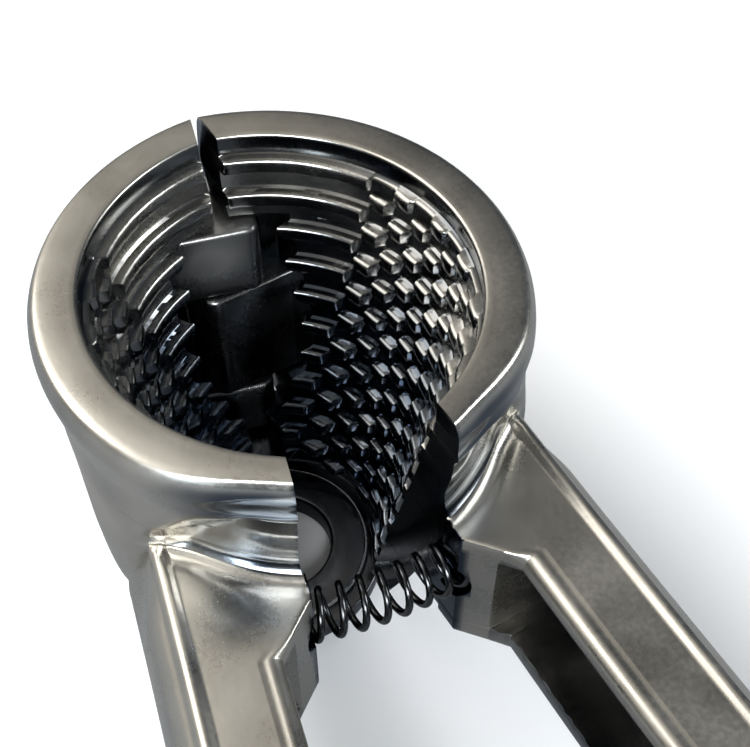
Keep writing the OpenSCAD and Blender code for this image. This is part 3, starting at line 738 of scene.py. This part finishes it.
def makeSpring():
    arcRadius = arm["hinge"] - seat["y"]
    endX = arm["lugGap"] + spring["sunk"] - 0.5
    half = math.radians(arm["open"]) + math.atan(endX / arcRadius) - spring["wire"] / arcRadius
    rings = spring["turns"] * spring["steps"] + 1
    t = np.linspace(0, 1, rings)[:, None]
    # the end turns lie flat against their seats, and the open turns share the rest
    endTurn = 1.0 / spring["turns"]
    lead = np.interp(t, [0, endTurn, 1 - endTurn, 1], [0, 0.038, 0.962, 1])
    along = half * (2 * lead - 1)
    turn = 2 * math.pi * spring["turns"] * t + 0.9
    aroundWire = onCircle(np.linspace(0, 2 * math.pi, spring["sides"], endpoint=False)) * spring["wire"]
    out = spring["radius"] - spring["wire"] + aroundWire[:, 0]
    aside = aroundWire[:, 1]
    radial = arcRadius + out * np.cos(turn)
    x = radial * np.sin(along) + aside * np.cos(along)
    y = arm["hinge"] + centreY - radial * np.cos(along) + aside * np.sin(along)
    z = seat["z"] + out * np.sin(turn) + np.interp(x, [-9, 9], [seat["leftRise"], seat["rightRise"]])
    points = np.stack([x, y, z], -1).reshape(-1, 3) / 1000
    made = makePiece("returnSpring", points, tubeFaces(rings, spring["sides"]), 60)
    reach = arcRadius * math.sin(half) / 1000
    return made, reach, (arm["hinge"] + centreY - arcRadius * math.cos(half)) / 1000


springPiece, springReach, springY = makeSpring()
print("ring, pin and spring made")


# Shader group with its sockets
def newGroup(name, inputs, outputs):
    group = bpy.data.node_groups.new(name, "ShaderNodeTree")
    for label, value in inputs.items():
        made = group.interface.new_socket(name=label, in_out="INPUT", socket_type="NodeSocketFloat")
        made.default_value = value
    for label in outputs:
        group.interface.new_socket(name=label, in_out="OUTPUT", socket_type="NodeSocketFloat")
    return group, group.nodes.new("NodeGroupInput"), group.nodes.new("NodeGroupOutput")


# Node with settings, each the value of an input or a property
def node(tree, kind, **settings):
    made = tree.nodes.new(kind)
    for key, value in settings.items():
        if key in made.inputs:
            made.inputs[key].default_value = value
        else:
            setattr(made, key, value)
    return made


# Result of a Math node, from numbers and other nodes' outputs
def maths(tree, operation, *inputs, clamp=False):
    made = node(tree, "ShaderNodeMath", operation=operation, use_clamp=clamp)
    for socket, value in zip(made.inputs, inputs):
        if isinstance(value, bpy.types.NodeSocket):
            tree.links.new(value, socket)
        else:
            socket.default_value = value
    return made.outputs[0]


# Plating skin: long cloudy tone + fine grain + scattered pits, for colour, roughness and height
def platingGroup():
    amounts = {"Pits": 0.5, "Clouds": 0.5}
    group, inside, outside = newGroup("platingSkin", amounts, ["Tone", "Rough", "Height"])
    link = group.links.new
    coords = node(group, "ShaderNodeTexCoord")
    clouds = node(group, "ShaderNodeTexNoise", Scale=110.0, Detail=2.5, Roughness=0.5)
    grain = node(group, "ShaderNodeTexNoise", Scale=1900.0, Detail=3.0, Roughness=0.6)
    wave = node(group, "ShaderNodeTexNoise", Scale=260.0, Detail=2.0, Roughness=0.4)
    pits = node(group, "ShaderNodeTexVoronoi", Scale=620.0)
    for texture in (clouds, grain, wave, pits):
        link(coords.outputs["Object"], texture.inputs["Vector"])
    cloud, fine = clouds.outputs["Fac"], grain.outputs["Fac"]
    # pits lie at the cells' middles, and only where the clouds are light
    pitRange = {"From Min": 0.05, "From Max": 0.17, "To Min": 1.0, "To Max": 0.0}
    near = node(group, "ShaderNodeMapRange", **pitRange)
    link(pits.outputs["Distance"], near.inputs["Value"])
    pitted = maths(group, "MULTIPLY", near.outputs[0], maths(group, "GREATER_THAN", cloud, 0.62))
    pitted = maths(group, "MULTIPLY", pitted, inside.outputs["Pits"])
    cloudy = maths(group, "MULTIPLY_ADD", maths(group, "SUBTRACT", cloud, 0.5), inside.outputs["Clouds"], 0.5)
    link(maths(group, "SUBTRACT", cloudy, pitted, clamp=True), outside.inputs["Tone"])
    link(maths(group, "MULTIPLY_ADD", fine, 0.4, cloud), outside.inputs["Rough"])
    bumps = maths(group, "MULTIPLY_ADD", wave.outputs["Fac"], 1.6, fine)
    link(maths(group, "MULTIPLY_ADD", pitted, -1.6, bumps), outside.inputs["Height"])
    return group


skin = platingGroup()


# A metal from its dark, plated state to its worn, bare one: colour and roughness follow the per-point
# attribute of wear and painted light and shade, broken up by the skin group
def metal(name, plated, wornAndLit, roughPlated, roughWorn, bump, pits, clouds):
    material = bpy.data.materials.new(name)
    material.use_nodes = True
    tree = material.node_tree
    link = tree.links.new
    shader = tree.nodes["Principled BSDF"]
    shader.inputs["Metallic"].default_value = 1.0
    group = tree.nodes.new("ShaderNodeGroup")
    group.node_tree = skin
    group.inputs["Pits"].default_value = pits
    group.inputs["Clouds"].default_value = clouds
    bareAndLit = node(tree, "ShaderNodeAttribute", attribute_name="bareAndLit").outputs["Fac"]
    # patchy where the bare value is half way, and plain where it is full
    broken = maths(tree, "MULTIPLY", bareAndLit, maths(tree, "MULTIPLY", group.outputs["Tone"], 2.0))
    patchy = node(tree, "ShaderNodeMix", data_type="FLOAT")
    for socket, value in zip((0, 2, 3), (bareAndLit, broken, bareAndLit)):
        link(value, patchy.inputs[socket])
    colour = node(tree, "ShaderNodeMix", data_type="RGBA")
    colour.inputs[6].default_value = (*plated, 1)
    colour.inputs[7].default_value = (*wornAndLit, 1)
    link(patchy.outputs[0], colour.inputs[0])
    link(colour.outputs[2], shader.inputs["Base Color"])
    rough = node(tree, "ShaderNodeMix", data_type="FLOAT")
    rough.inputs[2].default_value, rough.inputs[3].default_value = roughPlated, roughWorn
    link(bareAndLit, rough.inputs[0])
    link(maths(tree, "MULTIPLY", rough.outputs[0], group.outputs["Rough"]), shader.inputs["Roughness"])
    bumps = node(tree, "ShaderNodeBump", Strength=bump, Distance=0.00012)
    link(group.outputs["Height"], bumps.inputs["Height"])
    link(bumps.outputs[0], shader.inputs["Normal"])
    return material


plating = metal("platedCasting", (0.042, 0.06, 0.088), (0.56, 0.53, 0.47), 0.14, 0.48, 0.06, 0.02, 2.2)
knuckleMetal = metal("knuckleCasting", (0.12, 0.125, 0.13), (0.66, 0.65, 0.62), 0.38, 0.46, 0.1, 0.05, 1.6)
ringMetal = metal("ringCasting", (0.11, 0.112, 0.12), (0.6, 0.58, 0.55), 0.26, 0.4, 0.1, 0.1, 1.5)
pinMetal = metal("pinSteel", (0.25, 0.25, 0.25), (0.5, 0.5, 0.5), 0.3, 0.4, 0.15, 0.2, 1.0)
wireMetal = metal("springWire", (0.05, 0.05, 0.05), (0.085, 0.087, 0.09), 0.3, 0.34, 0.15, 0.3, 1.0)
print("materials made")


def dress(piece, material):
    piece.data.materials.clear()
    piece.data.materials.append(material)


for body, pieces in castings.items():
    for piece in pieces:
        dress(piece, knuckleMetal if "Knuckle" in piece.name else plating)
        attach(piece, body)
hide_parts("left_jaw")
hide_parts("left_handle")
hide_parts("right_jaw")
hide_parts("right_handle")
dress(footRing, ringMetal)
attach(footRing, "left_arm")
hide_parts("foot_ring")
dress(hingePin, pinMetal)
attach(hingePin, "left_arm")
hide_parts("hinge_pin")
dress(springPiece, wireMetal)
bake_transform(springPiece)
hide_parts("return_spring")

# Floor: pale to look at, and darker in the metal's reflections
floorReach = 1.4
floorMesh = bpy.data.meshes.new("floor")
floorCorners = [(x * floorReach, y * floorReach, 0) for x, y in ((-1, -1), (1, -1), (1, 1), (-1, 1))]
floorMesh.from_pydata(floorCorners, [], [(0, 1, 2, 3)])
floor = bpy.data.objects.new("floor", floorMesh)
bpy.context.scene.collection.objects.link(floor)
floorMaterial = bpy.data.materials.new("paleFloor")
floorMaterial.use_nodes = True
tree = floorMaterial.node_tree
floorShader = tree.nodes["Principled BSDF"]
floorShader.inputs["Roughness"].default_value = 0.9
path = node(tree, "ShaderNodeLightPath")
tint = node(tree, "ShaderNodeMix", data_type="RGBA")
tint.inputs[6].default_value = (0.92, 0.92, 0.92, 1)
tint.inputs[7].default_value = (0.25, 0.262, 0.28, 1)
tree.links.new(path.outputs["Is Glossy Ray"], tint.inputs[0])
tree.links.new(tint.outputs[2], floorShader.inputs["Base Color"])
floorMesh.materials.append(floorMaterial)

# World: a dim room, brighter overhead towards the left, and pale where the view looks straight at it
world = bpy.data.worlds.new("studio")
bpy.context.scene.world = world
world.use_nodes = True
tree = world.node_tree
background = tree.nodes["Background"]
background.inputs["Strength"].default_value = 1.0
coords = node(tree, "ShaderNodeTexCoord")
facing = node(tree, "ShaderNodeVectorMath", operation="DOT_PRODUCT")
facing.inputs[1].default_value = Vector((-0.6, 0.45, 0.66)).normalized()
tree.links.new(coords.outputs["Generated"], facing.inputs[0])
room = node(tree, "ShaderNodeValToRGB")
tree.links.new(facing.outputs["Value"], room.inputs["Fac"])
stops = room.color_ramp.elements
stops[0].color = (0.035, 0.045, 0.06, 1)
stops[1].color = (0.62, 0.62, 0.61, 1)
roomTones = {
    0.3: (0.06, 0.07, 0.085), 0.5: (0.115, 0.118, 0.122), 0.62: (0.25, 0.248, 0.238),
    0.72: (0.40, 0.39, 0.362), 0.8: (0.47, 0.458, 0.425),
}
for place, tone in roomTones.items():
    stops.new(place).color = (*tone, 1)
path = node(tree, "ShaderNodeLightPath")
shown = node(tree, "ShaderNodeMix", data_type="RGBA")
shown.inputs[7].default_value = (0.97, 0.97, 0.97, 1)
tree.links.new(path.outputs["Is Camera Ray"], shown.inputs[0])
tree.links.new(room.outputs["Color"], shown.inputs[6])
tree.links.new(shown.outputs[2], background.inputs["Color"])

# Lights: name, place in metres, size, power in watts and colour
lights = [
    ("window", (-1.0, -0.75, 0.55), (0.14, 0.5), 5.0, (0.74, 0.87, 1.0)),
    ("ceiling", (-0.9, 0.9, 1.2), (1.4, 1.4), 17.0, (1.0, 0.98, 0.95)),
    ("front", (-0.75, -1.2, 1.15), (1.2, 0.6), 40.0, (0.94, 0.97, 1.0)),
    ("right", (1.3, -0.4, 0.9), (0.7, 0.7), 14.0, (0.90, 0.95, 1.0)),
]
for name, place, size, power, colour in lights:
    data = bpy.data.lights.new(name, "AREA")
    data.shape = "RECTANGLE"
    data.size, data.size_y, data.energy, data.color = size[0], size[1], power, colour
    light = bpy.data.objects.new(name, data)
    bpy.context.scene.collection.objects.link(light)
    light.location = place
    light.rotation_mode = "QUATERNION"
    light.rotation_quaternion = (Vector((0, 0.05, 0.03)) - Vector(place)).to_track_quat("-Z", "Y")
bpy.context.scene.view_settings.view_transform = "Standard"

print("scene ready")
